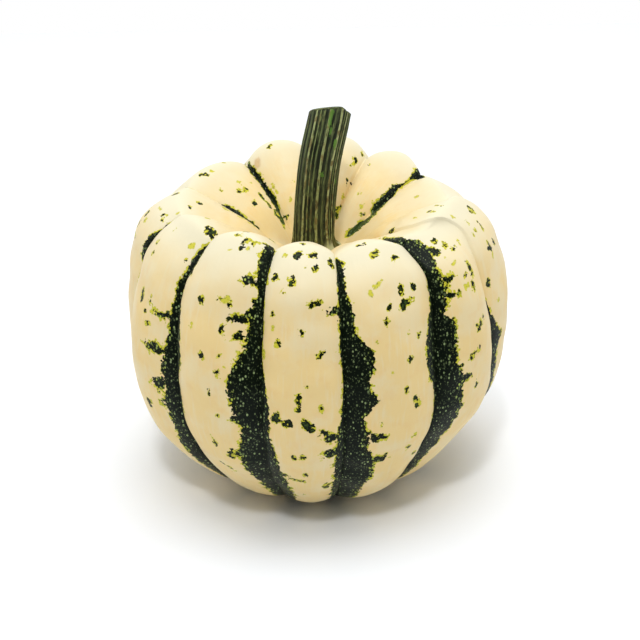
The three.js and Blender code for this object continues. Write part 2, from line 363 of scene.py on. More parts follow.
# Yellow-green spots that have no dark middle, in the same form.
LIME_SPOTS = {
    0: [
        (0.29, 5.17, 1.8, 1.4, 0), (0.39, 5.3, 2.6, 1, 70), (0.44, 4.15, 1, 0.9, 0), (0.7, 3, 1.2, 1, 0),
        (0.4, 2.96, 1.8, 1.4, 0), (0.3, 4.52, 1, 0.8, 0), (0.48, 5.01, 1.6, 1, 0),
    ],
    1: [
        (0.39, 5.25, 2.4, 1, 70), (0.31, 5.4, 1.6, 1, 0), (0.42, 4.85, 2.2, 1, 60),
        (0.27, 3.76, 1.4, 1, 0),
    ],
    2: [(0.1, 6.12, 2, 1, 0), (0.09, 5.42, 2.2, 1.1, 0), (0.25, 7.31, 1.6, 0.9, 0)],
    3: [(0.51, 7.44, 1.4, 0.9, 0)],
    4: [(0.57, 7.94, 1.8, 1.4, 0), (0.25, 8.12, 2, 1, 0)],
    5: [(0.38, 7.23, 1.8, 1.1, 0), (0.33, 8.02, 2, 0.9, 0), (0.03, 7.99, 1.7, 1.4, 0)],
    6: [
        (0.91, 7.7, 2, 1.2, 0), (0.88, 7.84, 1.6, 1.2, 0), (0.47, 7.78, 1.2, 0.8, 0),
        (0.66, 8.08, 1.2, 0.8, 0),
    ],
    7: [
        (0.8, 7.44, 1.8, 1.2, 0), (0.5, 7.66, 2.6, 1.8, 60), (0.45, 7.5, 1.5, 1, 0),
        (0.26, 7.57, 1.2, 0.8, 0),
    ],
    8: [
        (0.25, 7.72, 3, 1.8, 0), (0.3, 7.96, 3, 1.6, 0), (0.34, 8.17, 2.6, 1.2, 0),
        (0.85, 5.94, 1.2, 1, 0), (0.94, 6.34, 1.6, 1, 0), (0.65, 5.82, 2.2, 0.9, 60),
    ],
    9: [(0.43, 5.95, 1.6, 1, 0), (0.85, 5.86, 1.9, 1.5, 0), (0.66, 4.69, 1.2, 1, 0)],
    10: [
        (0.64, 5, 3, 2, 60), (0.3, 4.6, 1.6, 1.1, 0), (0.8, 4.4, 1.6, 1.2, 0), (0.82, 6.45, 1.6, 1.2, 0),
        (0.72, 6.12, 1.6, 1, 0), (0.78, 4.29, 1.4, 1, 0), (0.57, 6.52, 1.2, 0.9, 0),
        (0.53, 5.97, 1.6, 0.8, 60), (0.48, 3.26, 2.2, 1, 0), (0.62, 3.02, 1.4, 1, 0),
        (0.55, 2.66, 3.4, 0.7, 60),
    ],
    11: [
        (0.22, 6.1, 1.4, 1.2, 0), (0.54, 5.75, 0.9, 0.8, 0), (0.15, 4.7, 1.5, 1.2, 0),
        (0.71, 3.13, 1.4, 1, 0), (0.04, 4.4, 3, 1.2, 0), (0.62, 5.06, 2.6, 1.2, 80),
    ],
}

BARE_LOBES = (2, 3, 4, 5, 6, 7, 8)  # no spots are placed on their lower halves

# A rusty blemish, in the same form.
RUST_SPOTS = {6: [(0.92, 7.15, 3.4, 2, 30)]}
RUST_STRENGTH = 0.6
RUST_EDGE = (-0.3, 0.4)

# Markings are fields: how many millimetres inside a marking a point lies, below zero outside.
OUTSIDE = -9.0  # the value far from every marking
TAPER = 2.5  # how far a side of a stripe draws in past its last rows
TAPER_BELOW, TAPER_ABOVE = 0.4, 0.3  # over so many stations
STRIPE_END = (8.6, 9)  # the stations where the stripes run out above the seat
STRIPE_END_DEPTH = 3  # by so many millimetres

# The ranges that stray flecks are drawn from.
STRAY_LENGTH = (0.8, 3)
STRAY_ROUNDNESS = (0.35, 0.9)  # width as a share of length
STRAY_LEAST_WIDTH = 0.8
STRAY_STATIONS = (1.3, 5.8)
STRAY_ACROSS = (0.12, 0.88)
STRAY_LEAN = 30

# Soft zones of the skin: the stations where each begins, is full, starts to fade and ends.
# The pale zone on the tops of the lobes is partly the skin's own paler cream and partly a painted sheen
# that stands in for the overhead light on them.
PALE_TOPS_AND_SHEEN = (4.4, 6.2, 6.6, 8)
UNEVEN_ZONE = (1.2, 2.6, 7.5, 8.8)
LEAFY_SEAT = (7.7, 8.5)  # begins and is full; it runs on to the stem
CORK_EDGE = (3.2, 4.4)  # distances from the axis between which the cork underneath ends

# ---------- Fine shapes ----------

WANDER_RADIUS = 20  # the furrows' wander is read on a drum of this radius
WANDER_STEP = 6  # and so far up it for each station
WANDER_SIZE = 16
BROAD_SWELLS, SMALL_SWELLS = 15, 6  # sizes of the swellings on the lobes
SMALL_SWELL_SHARE = 0.45
SCAR_EDGE, SCAR_DEPTH = (2.6, 4.2), 0.7  # the dimple underneath
BUTTON_EDGE, BUTTON_HEIGHT = (0.4, 1.6), 0.3  # the nub in its middle
INNERMOST_RING = 0.6  # how far the first ring lies from the middle of the blossom end
SEAT_RINGS = (0.75, 0.4)  # rings that close the seat under the stem, as shares of its radius
STREAK_RADIUS, STREAK_STRETCH = 50, 0.15  # the fine streaks run down the lobes

FIBRE_TWIST, FIBRE_WAVER = 0.25, 0.05  # radians from foot to cut, and to either side
WAVER_RADIUS, WAVER_RUN, WAVER_SIZE = 6, 30, 9  # the waver is read on a drum of this size
FIBRE_RADIUS, FIBRE_STRETCH = 5.3, 0.12  # the fibres are long noise, read on another drum
FIBRE_RUN = 40  # the stem's length as the fibres see it
RIDGE_WIDTHS, RIDGE_HEIGHTS = (0.5, 1.5), (0.4, 1.0)
RIDGE_MIDDLE = 0.6  # the part of a ridge's height that lies inside the stem's plain radius
CUT_RINGS = ((0.95, 0.3), (0.84, 0.6), (0.6, 0.75), (0.3, 0.85))  # (share of the radius, rise)
CUT_MIDDLE_RISE = 0.9
TOE_LENGTH, LONG_TOE_EXTRA = 0.1, 0.24  # how far up the stem the pale toes reach, as shares

# ---------- Places on the stage, in metres ----------

FLOOR_REACH = 0.45  # to both sides and to the back
FLOOR_DROP = 0.05 * MM  # keeps the floor clear of the resting face
CAMERA_LOWERED = 4 * MM  # its distance is taken from a point this far below the fruit's middle
AIM_ASIDE, AIM_RAISED = 1.1 * MM, 5.5 * MM  # it looks this far right of that point and above it
SENSOR_WIDTH = 36  # millimetres
NEAREST_SEEN = 0.01
# Each softbox has its place and its width.
OVERHEAD_PLACE, OVERHEAD_WIDTH = (0.04, -0.05, 1.4), 1.05
IN_FRONT_PLACE, IN_FRONT_WIDTH = (-0.09, -0.71, 1.09), 0.13


# ---------- Settings ----------


def colour(name, description, default):
    return FloatVectorProperty(
        name=name, description=description, default=default, subtype="COLOR", size=3, min=0, max=1
    )


def whole_number(name, description, default, least):
    return IntProperty(name=name, description=description, default=default, min=least)


def brightness(name, description, default):
    return FloatProperty(name=name, description=description, default=default, min=0)


def metres(name, description, default):
    return FloatProperty(name=name, description=description, default=default, unit="LENGTH")


def angle(name, description, degrees):
    return FloatProperty(name=name, description=description, default=radians(degrees), subtype="ANGLE")


def watts(name, description, default):
    return FloatProperty(name=name, description=description, default=default, unit="POWER")


class SkinSettings(bpy.types.PropertyGroup):
    lobe_columns: whole_number("Columns per lobe", "Lines of points along each lobe", 40, 8)
    rings: whole_number("Rings", "Rings of points from the blossom end to the seat", 200, 40)
    unevenness: metres("Unevenness", "How far the skin swells and sinks between furrows", 0.35 * MM)
    wander: angle("Furrow wander", "How far a furrow strays to either side on its way down", 0.35)
    stray_flecks: whole_number("Stray flecks", "Flecks strewn over the bare lobes", 130, 0)
    seed: IntProperty(name="Seed", description="Picks the stray flecks and the unevenness", default=7)
    flesh: colour("Cream", "Main colour of the lobes", (0.85, 0.65, 0.3))
    # Pale cream also lights the clouds and streaks; on the tops of the lobes it is partly a painted sheen
    # of the overhead light.
    pale: colour("Pale cream", "The tops of the lobes", (0.82, 0.76, 0.55))
    blush: colour("Blush", "Warm clouds on the lobes", (0.82, 0.57, 0.25))
    green: colour("Deep green", "The stripes and flecks", (0.0028, 0.0065, 0.0025))
    leaf: colour("Leaf green", "Soft clouds in the flecks and high on the stripes", (0.045, 0.08, 0.012))
    lime: colour("Lime", "The fringe of the stripes and the pale spots", (0.62, 0.58, 0.045))
    dot: colour("Dots", "The fine dots deep in the stripes", (0.27, 0.36, 0.16))
    bright_dot: colour("Bright dots", "The dots beside a stripe's edge", (0.46, 0.56, 0.07))
    cork: colour("Cork", "The blossom scar underneath and blemishes", (0.4, 0.18, 0.06))


class StemSettings(bpy.types.PropertyGroup):
    columns: whole_number("Columns", "Points round the stem", 240, 24)
    rings: whole_number("Rings", "Rings of points along the stem", 120, 12)
    ridges: whole_number("Ridges", "Fibre ridges round the stem", 25, 5)
    ridge_height: metres("Ridge height", "How far a ridge stands above the groove beside it", 0.7 * MM)
    seed: IntProperty(name="Seed", description="Picks the widths of the ridges", default=4)
    bark: colour("Bark", "The dark ground between the ridges", (0.012, 0.017, 0.007))
    moss: colour("Moss", "The lighter parts of the ground", (0.055, 0.07, 0.03))
    olive: colour("Olive", "The lines along the ridges", (0.2, 0.25, 0.08))
    straw: colour("Straw", "The palest lines", (0.42, 0.46, 0.2))
    umber: colour("Umber", "The brownest lines", (0.19, 0.155, 0.055))
    amber: colour("Amber", "The yellow tinge of the foot", (0.13, 0.12, 0.012))
    fresh: colour("Fresh green", "Rubbed places near the cut", (0.1, 0.22, 0.03))
    tip: colour("Toe tips", "The pale ends of the toes", (0.5, 0.52, 0.3))


class StageSettings(bpy.types.PropertyGroup):
    elevation: angle("Camera elevation", "Angle of the view down on to the fruit", 26.6)
    distance: metres("Camera distance", "From the camera to a point below the fruit's middle", 0.441)
    roll: angle("Camera roll", "Turn of the camera about its own line of sight", -0.94)
    lens: FloatProperty(name="Lens", description="Focal length", default=89.7, unit="CAMERA")
    key_power: watts("Key power", "The softbox overhead", 11)
    front_power: watts("Front power", "The small lamp in front", 4.2)
    ground: brightness("Ground", "Light from below, beyond the table", 1.15)
    front: brightness("Front", "Light from the front, level with the fruit", 0.08)
    sides: brightness("Sides", "Light from the sides and the back", 0.82)
    zenith: brightness("Zenith", "Light from straight above", 0.58)
    gloom: brightness("Gloom", "How bright the room in front is in reflections", 0.05)
    table_front: metres("Table front", "How far the table reaches to the front", 0.115)


# ---------- Shared numbers and shapes ----------


def spline(table, stations, run_on=False):
    """Values of the smooth line through the rows of a table at these stations, and how they change.

    With run_on the line carries on straight past its ends, as a path does."""
    rows = np.asarray(table, float)
    if run_on:
        before, after = 2 * rows[0] - rows[1], 2 * rows[-1] - rows[-2]
    else:
        before, after = rows[0], rows[-1]
    padded = np.vstack([before, rows, after])
    stations = np.asarray(stations, float)
    index = np.clip(stations.astype(int), 0, len(rows) - 2)
    t = (stations - index)[..., None]
    p0, p1, p2, p3 = (padded[index + step] for step in range(4))
    v1, v2 = (p2 - p0) / 2, (p3 - p1) / 2
    cubic = 2 * p1 - 2 * p2 + v1 + v2
    square = -3 * p1 + 3 * p2 - 2 * v1 - v2
    return ((cubic * t + square) * t + v1) * t + p1, (3 * cubic * t + 2 * square) * t + v1


def bump(stations, middle, reach):
    """1 in the middle of a window, falling smoothly to 0 at both its edges."""
    away = np.minimum(np.abs(stations - middle) / reach, 1)
    return np.cos(away * np.pi / 2) ** 2


def smooth(values, low, high):
    """0 below low, 1 above high and a smooth step between them."""
    t = np.clip((np.asarray(values, float) - low) / (high - low), 0, 1)
    return t * t * (3 - 2 * t)


def plateau(values, begin, full, fade, end):
    """1 from full to fade, falling smoothly to 0 at begin and end."""
    return smooth(values, begin, full) * (1 - smooth(values, fade, end))


def ripple(places, size, seed):
    """A smooth random swell between about -1 and 1 whose hills are about this size across."""
    random = np.random.default_rng(seed)
    total = np.zeros(places.shape[:-1])
    waves = 14
    for _ in range(waves):
        way = random.normal(size=3)
        way *= np.pi * random.uniform(0.6, 1.4) / (size * np.linalg.norm(way))
        total += np.sin(places @ way + random.uniform(0, 2 * np.pi))
    return total / np.sqrt(waves)


def unit(vectors):
    return vectors / np.maximum(np.linalg.norm(vectors, axis=-1, keepdims=True), 1e-9)


def ring_faces(rings, columns):
    """The squares between neighbouring closed rings of points."""
    a = (np.arange(rings - 1)[:, None] * columns + np.arange(columns)).ravel()
    b = (np.arange(rings - 1)[:, None] * columns + (np.arange(columns) + 1) % columns).ravel()
    return np.stack([a, b, b + columns, a + columns], 1)


def fan(ring_start, columns, middle, upward):
    """The triangles that close a ring of points on to one point in its middle."""
    i = np.arange(columns)
    near, far = ring_start + i, ring_start + (i + 1) % columns
    first, second = (near, far) if upward else (far, near)
    return np.stack([first, second, np.full(columns, middle)], 1)


def closed_mesh(name, grid, low_middle, high_middle):
    """A smooth closed object from rings of points, lowest first, given in millimetres."""
    rings, columns = grid.shape[:2]
    points = np.concatenate([grid.reshape(-1, 3), [low_middle, high_middle]]) * MM
    low, high = len(points) - 2, len(points) - 1
    faces = ring_faces(rings, columns).tolist()
    faces += fan(0, columns, low, upward=False).tolist()
    faces += fan((rings - 1) * columns, columns, high, upward=True).tolist()
    mesh = bpy.data.meshes.new(name)
    mesh.from_pydata(points.tolist(), [], faces)
    mesh.shade_smooth()
    piece = bpy.data.objects.new(name, mesh)
    bpy.context.scene.collection.objects.link(piece)
    return piece


def write_values(piece, name, grid, low=0.0, high=0.0):
    """Stores one number for each point of a closed mesh, for its material to read."""
    values = np.concatenate([grid.ravel(), [low, high]]).astype(np.float32)
    piece.data.attributes.new(name, "FLOAT", "POINT").data.foreach_set("value", values)


def write_vectors(piece, name, grid):
    """Stores one vector for each point of a closed mesh, for its material to read."""
    values = np.concatenate([grid.reshape(-1, 3), grid[0, :1], grid[-1, :1]]).astype(np.float32)
    piece.data.attributes.new(name, "FLOAT_VECTOR", "POINT").data.foreach_set("vector", values.ravel())


# ---------- Fruit shape ----------


class FruitGrid:
    """Every point of the skin, with where it lies: its lobe, share across it and station."""

    def __init__(self, settings):
        self.lobe, self.across = self.columns(settings.lobe_columns)
        starts = np.array([row[0] for row in LOBES], float)
        self.starts = starts
        self.widths = np.diff(np.append(starts, starts[0] + 360))
        self.stations = self.rings(settings.rings)
        self.wander = np.degrees(settings.wander)
        self.uneven = settings.unevenness / MM
        self.seed = settings.seed
        self.points = self.surface(self.lobe[None, :], self.across[None, :], self.stations[:, None])
        self.measure()

    @staticmethod
    def columns(count):
        """Lines of points along the lobes, closer together beside the furrows."""
        even = np.arange(count) / count
        bunched = (1 - np.cos(np.pi * even)) / 2
        share = 0.45 * even + 0.55 * bunched
        return np.repeat(np.arange(len(LOBES)), count), np.tile(share, len(LOBES))

    @staticmethod
    def rings(count):
        """Stations whose rings lie equally far apart along the skin."""
        fine = np.linspace(0, LAST_STATION, 4000)
        line = spline([row[:2] for row in CREST], fine)[0]
        run = np.append(0, np.cumsum(np.linalg.norm(np.diff(line, axis=0), axis=1)))
        return np.interp(np.linspace(INNERMOST_RING, run[-1], count), run, fine)

    def surface(self, lobe, across, stations):
        """Points of the skin in millimetres."""
        lobe, across, stations = np.broadcast_arrays(lobe, across, stations)
        table = np.array(LOBES, float)

        def of_furrows(column):
            """A column of LOBES that belongs to the furrows, read across the lobe."""
            begin, end = table[lobe, column], table[(lobe + 1) % len(LOBES), column]
            return begin + (end - begin) * across

        line, change = spline(CREST, stations)
        radius, height, depth = line[..., 0], line[..., 1], line[..., 2]
        along = unit(change[..., :2])
        width = self.widths[lobe]
        swell = np.sin(np.pi * np.clip(across, 0, 1)) ** LOBE_ROUNDNESS
        proud = sum(table[lobe, column] * bump(stations, *part) for column, part in PROUD_PARTS)
        filled = of_furrows(7) * bump(stations, *RIM)
        depth = depth * np.sqrt(width / MEAN_LOBE) * (1 - filled)
        offset = proud * swell - depth * (1 - swell)
        azimuth = self.starts[lobe] + across * width
        for column, part in SWING_PARTS:
            azimuth = azimuth + of_furrows(column) * bump(stations, *part)
        turn = np.radians(azimuth)
        drum = [WANDER_RADIUS * np.sin(turn), WANDER_RADIUS * -np.cos(turn), WANDER_STEP * stations]
        stray = ripple(np.stack(drum, -1), WANDER_SIZE, self.seed)
        sides = plateau(stations, *UNEVEN_ZONE)
        turn = turn + np.radians(self.wander) * stray * sides
        spot = np.stack([radius * np.sin(turn), -radius * np.cos(turn), height], -1)
        small_swells = ripple(spot, SMALL_SWELLS, self.seed + 2)
        swells = ripple(spot, BROAD_SWELLS, self.seed + 1) + SMALL_SWELL_SHARE * small_swells
        offset = offset + self.uneven * swells * sides
        radius = radius + offset * along[..., 1]
        height = np.maximum(height - offset * along[..., 0], 0)
        scar = 1 - smooth(radius, *SCAR_EDGE)
        button = 1 - smooth(radius, *BUTTON_EDGE)
        height = height + SCAR_DEPTH * scar - BUTTON_HEIGHT * button
        return np.stack([radius * np.sin(turn), -radius * np.cos(turn), height], -1)

    def measure(self):
        """How far each point lies from the furrows on its two sides and each ring up the crest."""
        count = len(self.across) // len(LOBES)
        shape = (len(self.stations), len(LOBES), count)
        points = self.points.reshape(*shape, 3)
        following = np.roll(points[:, :, 0], -1, axis=1)[:, :, None]
        steps = np.linalg.norm(np.diff(np.concatenate([points, following], 2), axis=2), axis=3)
        run = np.cumsum(steps, axis=2)
        whole = run[:, :, -1:]
        self.from_start = np.concatenate([0 * whole, run[:, :, :-1]], 2).reshape(shape[0], -1)
        self.to_end = np.repeat(whole[:, :, 0], count, axis=1) - self.from_start
        crest = spline([row[:2] for row in CREST], self.stations)[0]
        self.along = np.append(0, np.cumsum(np.linalg.norm(np.diff(crest, axis=0), axis=1)))

    def place(self, lobe, across, station):
        """One point of the skin and the two directions along it there: round the fruit and up it."""
        step = 0.02
        here, beside, above = self.surface(
            np.array([lobe] * 3),
            np.array([across, across + step, across]),
            np.array([station, station, station + step]),
        )
        up = unit(above - here)
        side = beside - here
        return here, unit(side - up * (side @ up)), up


# ---------- Fruit markings ----------


def reach_at(stations, rows):
    """How far one side of a stripe reaches at each station; it draws in past both its ends."""
    table = np.array(rows, float)
    table = table[np.argsort(table[:, 0])]
    first, last = table[0] - (TAPER_BELOW, TAPER), table[-1] + (TAPER_ABOVE, -TAPER)
    table = np.vstack([first, table, last])
    return np.interp(stations, table[:, 0], table[:, 1])[:, None]


def stripe_field(grid):
    """How far inside a stripe each point lies, in millimetres; below zero outside."""
    field = np.full(grid.points.shape[:2], OUTSIDE)
    run = grid.along[:, None]
    for furrow, left_rows, right_rows in STRIPES:
        left, right = reach_at(grid.stations, left_rows), reach_at(grid.stations, right_rows)
        for lobe, distance in ((furrow, grid.from_start), ((furrow - 1) % len(LOBES), -grid.to_end)):
            mine = grid.lobe == lobe
            x = distance[:, mine]
            found = np.minimum(right - x, left + x)
            for station, middle, half_length, half_width in SPURS.get(furrow, []):
                level = np.interp(station, grid.stations, grid.along)
                reach = np.hypot((run - level) / half_length, (x - middle) / half_width)
                found = np.maximum(found, (1 - reach) * min(half_length, half_width))
            field[:, mine] = np.maximum(field[:, mine], found)
    return field - STRIPE_END_DEPTH * smooth(grid.stations[:, None], *STRIPE_END)


def spot_field(grid, spots):
    """How far inside a spot each point lies, in millimetres, for spots given lobe by lobe."""
    field = np.full(grid.points.shape[:2], OUTSIDE)
    for lobe, rows in spots.items():
        for across, station, length, width, lean in rows:
            middle, side, up = grid.place(lobe, across, station)
            turn = radians(lean)
            way = np.cos(turn) * up + np.sin(turn) * side
            away = grid.points - middle
            half = max(length - width, 0) / 2
            along = np.clip(away @ way, -half, half)
            distance = np.linalg.norm(away - along[..., None] * way, axis=-1)
            field = np.maximum(field, width / 2 - distance)
    return field


def stray_spots(count, seed):
    """Random flecks for the sides and the back, where few or none are placed."""
    random = np.random.default_rng(seed)
    spots = {lobe: [] for lobe in range(len(LOBES))}
    for lobe in random.choice(BARE_LOBES, count):
        length = random.uniform(*STRAY_LENGTH)
        width = max(length * random.uniform(*STRAY_ROUNDNESS), STRAY_LEAST_WIDTH)
        station = random.uniform(*STRAY_STATIONS)
        across = random.uniform(*STRAY_ACROSS)
        spots[lobe].append((across, station, length, width, random.normal(0, STRAY_LEAN)))
    return spots


# ---------- Shader helpers ----------


class Tree:
    """Adds nodes to a shader tree, so that a material reads as a formula."""

    def __init__(self, tree):
        self.tree = tree

    def node(self, kind, inputs=None, **settings):
        made = self.tree.nodes.new(kind)
        for name, value in settings.items():
            setattr(made, name, value)
        for name, value in (inputs or {}).items():
            self.feed(made.inputs[name], value)
        return made

    def feed(self, socket, value):
        if isinstance(value, bpy.types.NodeSocket):
            self.tree.links.new(value, socket)
        elif socket.type == "RGBA":
            socket.default_value = (*value[:3], 1.0)
        else:
            socket.default_value = value

    def math(self, operation, a, b):
        made = self.node("ShaderNodeMath", operation=operation)
        for socket, value in zip(made.inputs, (a, b)):
            self.feed(socket, value)
        return made.outputs[0]

    def add(self, *terms):
        total = terms[0]
        for term in terms[1:]:
            total = self.math("ADD", total, term)
        return total

    def times(self, a, b):
        return self.math("MULTIPLY", a, b)

    def most(self, a, b):
        return self.math("MAXIMUM", a, b)

    def step(self, value, low, high, to_low=0.0, to_high=1.0):
        """A smooth step from to_low to to_high as the value goes from low to high."""
        made = self.node("ShaderNodeMapRange", interpolation_type="SMOOTHSTEP")
        for socket, number in zip(made.inputs, (value, low, high, to_low, to_high)):
            self.feed(socket, number)
        return made.outputs[0]

    def blend(self, share, a, b):
        made = self.node("ShaderNodeMix", data_type="RGBA")
        for socket, value in zip((made.inputs[0], made.inputs[6], made.inputs[7]), (share, a, b)):
            self.feed(socket, value)
        return made.outputs[2]

    def scaled(self, places, scale):
        made = self.node("ShaderNodeVectorMath", operation="MULTIPLY")
        self.feed(made.inputs[0], places)
        self.feed(made.inputs[1], scale)
        return made.outputs[0]

    def noise(self, places, size, detail=2.0, roughness=0.5):
        """Smooth noise from 0 to 1 whose blotches are about this size, in the places' unit."""
        inputs = {"Vector": places, "Scale": 1 / size, "Detail": detail, "Roughness": roughness}
        return self.node("ShaderNodeTexNoise", inputs).outputs["Fac"]

    def cells(self, places, size):
        """Two random numbers for each cell of a mosaic of about this size, and how far its middle is."""
        made = self.node("ShaderNodeTexVoronoi", {"Vector": places, "Scale": 1 / size})
        split = self.node("ShaderNodeSeparateColor", {"Color": made.outputs["Color"]})
        return split.outputs[0], split.outputs[1], made.outputs["Distance"]

    def attribute(self, name, output="Fac"):
        return self.node("ShaderNodeAttribute", attribute_name=name).outputs[output]

    def millimetres(self):
        """The place of a point on its piece, in millimetres."""
        return self.scaled(self.node("ShaderNodeTexCoord").outputs["Object"], (1 / MM,) * 3)


def new_group(name, inputs, outputs):
    """An empty shader node group with these sockets: {name: (socket type, default)}."""
    tree = bpy.data.node_groups.new(name, "ShaderNodeTree")
    for socket, (kind, default) in inputs.items():
        made = tree.interface.new_socket(socket, in_out="INPUT", socket_type="NodeSocket" + kind)
        if default is not None:
            made.default_value = default
    for socket, kind in outputs.items():
        tree.interface.new_socket(socket, in_out="OUTPUT", socket_type="NodeSocket" + kind)
    kit = Tree(tree)
    return tree, kit, kit.node("NodeGroupInput").outputs, kit.node("NodeGroupOutput").inputs


def use_group(kit, tree, inputs):
    return kit.node("ShaderNodeGroup", inputs, node_tree=tree).outputs


def mottled(kit, tree, place, size, amount, main, lighter, warmer):
    """A main colour under soft clouds of a lighter and a warmer one."""
    inputs = {"Place": place, "Size": size, "Amount": amount}
    inputs |= {"Main": main, "Lighter": lighter, "Warmer": warmer}
    return use_group(kit, tree, inputs)["Colour"]


def mottle_group():
    """Soft clouds of two further colours over a main one."""
    inputs = {
        "Place": ("Vector", None),
        "Size": ("Float", 10.0),
        "Main": ("Color", (0.8, 0.8, 0.8, 1)),
        "Lighter": ("Color", (0.9, 0.9, 0.9, 1)),
        "Warmer": ("Color", (0.8, 0.6, 0.5, 1)),
        "Amount": ("Float", 1.0),
    }
    tree, kit, source, result = new_group("Mottle", inputs, {"Colour": "Color"})
    scale = kit.math("DIVIDE", 1.0, source["Size"])
    clouds = kit.node("ShaderNodeTexNoise", {"Vector": source["Place"], "Scale": scale, "Detail": 4.0})
    finer = kit.node(
        "ShaderNodeTexNoise", {"Vector": source["Place"], "Scale": kit.times(scale, 2.3), "Detail": 3.0}
    )
    lighter = kit.times(kit.step(clouds.outputs["Fac"], 0.42, 0.66), source["Amount"])
    warmer = kit.times(kit.step(finer.outputs["Fac"], 0.5, 0.72), source["Amount"])
    shade = kit.blend(lighter, source["Main"], source["Lighter"])
    kit.feed(result["Colour"], kit.blend(warmer, shade, source["Warmer"]))
    return tree


def grain_group():
    """Fine relief: pores and a soft waviness, as a height in millimetres."""
    inputs = {"Place": ("Vector", None), "Pore size": ("Float", 0.5), "Wave size": ("Float", 4.0)}
    tree, kit, source, result = new_group("Grain", inputs, {"Height": "Float"})
    pore_scale = kit.math("DIVIDE", 1.0, source["Pore size"])
    wave_scale = kit.math("DIVIDE", 1.0, source["Wave size"])
    pores = kit.node("ShaderNodeTexNoise", {"Vector": source["Place"], "Scale": pore_scale, "Detail": 3.0})
    waves = kit.node("ShaderNodeTexNoise", {"Vector": source["Place"], "Scale": wave_scale, "Detail": 2.0})
    height = kit.add(kit.times(pores.outputs["Fac"], 0.03), kit.times(waves.outputs["Fac"], 0.2))
    kit.feed(result["Height"], height)
    return tree


def ragged_group():
    """Breaks up the edge of a marking: it swells out in beads and wavers."""
    inputs = {
        "Place": ("Vector", None),
        "Field": ("Float", 0.0),
        "Swing": ("Float", 1.0),
        "Bead size": ("Float", 0.6),
    }
    tree, kit, source, result = new_group("Ragged edge", inputs, {"Field": "Float"})
    bead_scale = kit.math("DIVIDE", 1.0, source["Bead size"])
    beads = kit.node("ShaderNodeTexVoronoi", {"Vector": source["Place"], "Scale": bead_scale})
    tone = kit.node("ShaderNodeSeparateColor", {"Color": beads.outputs["Color"]}).outputs[0]
    slow = kit.node("ShaderNodeTexNoise", {"Vector": source["Place"], "Scale": 0.55, "Detail": 3.0})
    swing = kit.add(
        kit.times(kit.math("SUBTRACT", 0.45, beads.outputs["Distance"]), 0.75),
        kit.times(kit.add(tone, -0.5), 0.45),
        kit.times(kit.add(slow.outputs["Fac"], -0.5), 3.2),
    )
    kit.feed(result["Field"], kit.add(source["Field"], kit.times(swing, source["Swing"])))
    return tree


def new_material(name):
    """A material with an empty tree but for its output and one Principled shader."""
    made = bpy.data.materials.new(name)
    made.use_nodes = True
    made.node_tree.nodes.clear()
    kit = Tree(made.node_tree)
    shader = kit.node("ShaderNodeBsdfPrincipled")
    output = kit.node("ShaderNodeOutputMaterial")
    kit.feed(output.inputs["Surface"], shader.outputs["BSDF"])
    return made, kit, shader


# ---------- Materials ----------


